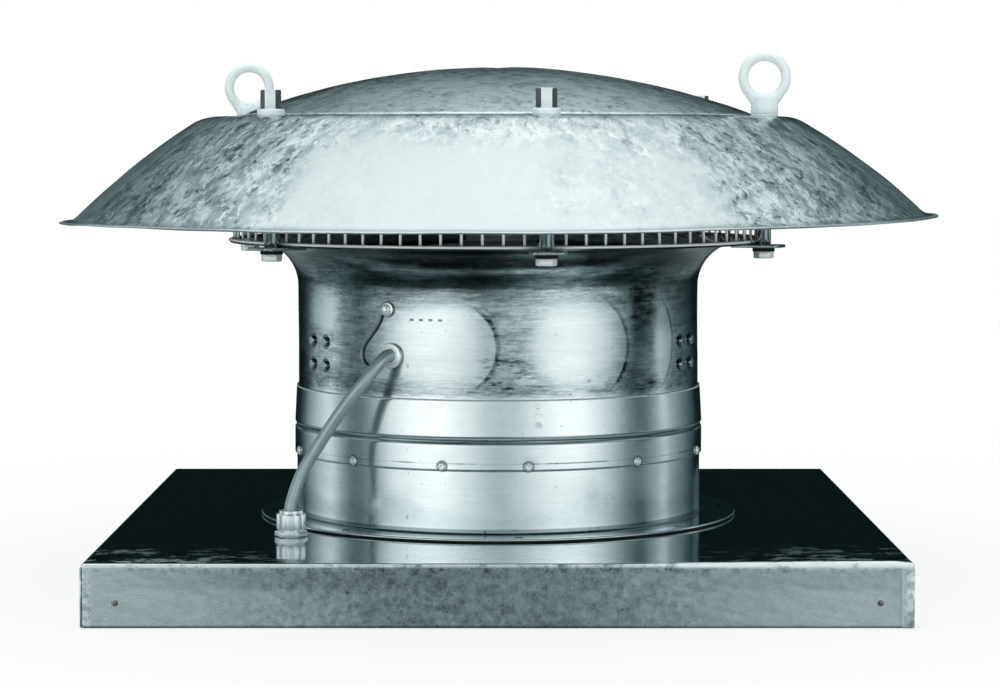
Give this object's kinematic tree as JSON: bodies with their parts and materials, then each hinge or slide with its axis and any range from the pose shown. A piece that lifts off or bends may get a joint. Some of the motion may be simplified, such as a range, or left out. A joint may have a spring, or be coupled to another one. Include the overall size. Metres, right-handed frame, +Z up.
{
  "type": "roof exhaust fan",
  "caption": "Roof-mounted exhaust fan: square curb cap, cylindrical steel casing with cable and gland, axial impeller and motor, wire guard and a wide mushroom hood with lifting eyes.",
  "frame": {"origin": "centre of the square base, on the plane of the skirt's bottom edges", "axes": "+Z up along the impeller axis, -Y towards the front, the side the cable gland and cable entry are nearest to, +X to the right seen from the front"},
  "size_m": [0.9696, 0.9696, 0.575],
  "materials": {
    "galvanised_sheet": "hot-dip galvanised, spangled, dull to semi-bright",
    "galvanised_wire": "galvanised wire",
    "zinc_plated_steel": "zinc plated, semi-bright",
    "black_rubber": "matt",
    "nickel_plated_brass": "nickel plated, bright",
    "cable_sheath": "extruded, satin",
    "cast_aluminium": "die cast, shot blasted",
    "electrical_steel": "laminated, oiled",
    "copper_winding": "enamelled copper",
    "ground_steel": "ground and hardened"
  },
  "bodies": {
    "fan_frame": {"arm_bolts": "zinc_plated_steel", "arm_nuts": "zinc_plated_steel", "base_pan": "galvanised_sheet", "cable_grommet": "black_rubber", "casing_band": "galvanised_sheet", "corner_tabs": "galvanised_sheet", "curb_seal": "black_rubber", "earth_lead": "cable_sheath", "earth_screw": "zinc_plated_steel", "eye_nut_left": "zinc_plated_steel", "eye_nut_right": "zinc_plated_steel", "flange_gasket": "black_rubber", "flange_nuts": "zinc_plated_steel", "flange_screws": "zinc_plated_steel", "gland_body": "nickel_plated_brass", "gland_locknut": "nickel_plated_brass", "gland_nut": "nickel_plated_brass", "gland_seal": "black_rubber", "guard_rings": "galvanised_wire", "guard_wires": "galvanised_wire", "hood_bolts": "zinc_plated_steel", "hood_crown": "galvanised_sheet", "hood_lugs": "galvanised_sheet", "hood_nuts": "zinc_plated_steel", "hood_shroud": "galvanised_sheet", "inlet_collar": "galvanised_sheet", "isolation_washers": "black_rubber", "lap_rivets": "zinc_plated_steel", "lower_bearing_outer": "ground_steel", "lower_end_shield": "cast_aluminium", "motor_flange_bolts": "zinc_plated_steel", "motor_housing": "cast_aluminium", "motor_mount_ring": "galvanised_sheet", "motor_top_cap": "cast_aluminium", "outlet_casing": "galvanised_sheet", "power_cable": "cable_sheath", "sealing_washers": "black_rubber", "spacer_tubes": "zinc_plated_steel", "stator_core": "electrical_steel", "stator_windings": "copper_winding", "support_arms": "galvanised_sheet", "terminal_box": "cast_aluminium", "terminal_box_cover": "cast_aluminium", "tie_bolts": "zinc_plated_steel", "upper_bearing_outer": "ground_steel", "upper_end_shield": "cast_aluminium"},
    "rotor": {"rotor_shaft": "ground_steel", "shaft_key": "ground_steel", "rotor_core": "electrical_steel", "lower_bearing_inner": "ground_steel", "upper_bearing_inner": "ground_steel", "shaft_seal": "black_rubber", "impeller_hub": "cast_aluminium", "impeller_blades": "cast_aluminium", "hub_washer": "zinc_plated_steel", "hub_bolt": "zinc_plated_steel"},
    "lower_ball_set": {"lower_bearing_balls": "ground_steel"},
    "upper_ball_set": {"upper_bearing_balls": "ground_steel"}
  },
  "joints": [
    {"name": "rotor_spin", "type": "hinge", "parent": "fan_frame", "child": "rotor", "pos_m": [0, 0, 0.25], "axis": [0, 0, 1], "continuous": true},
    {"name": "lower_cage_spin", "type": "hinge", "parent": "fan_frame", "child": "lower_ball_set", "pos_m": [0, 0, 0.255], "axis": [0, 0, 1], "continuous": true},
    {"name": "upper_cage_spin", "type": "hinge", "parent": "fan_frame", "child": "upper_ball_set", "pos_m": [0, 0, 0.347], "axis": [0, 0, 1], "continuous": true}
  ],
  "couplings": [
    {"joint": "lower_cage_spin", "follows": "rotor_spin", "ratio": 0.3815},
    {"joint": "upper_cage_spin", "follows": "rotor_spin", "ratio": 0.3815}
  ]
}
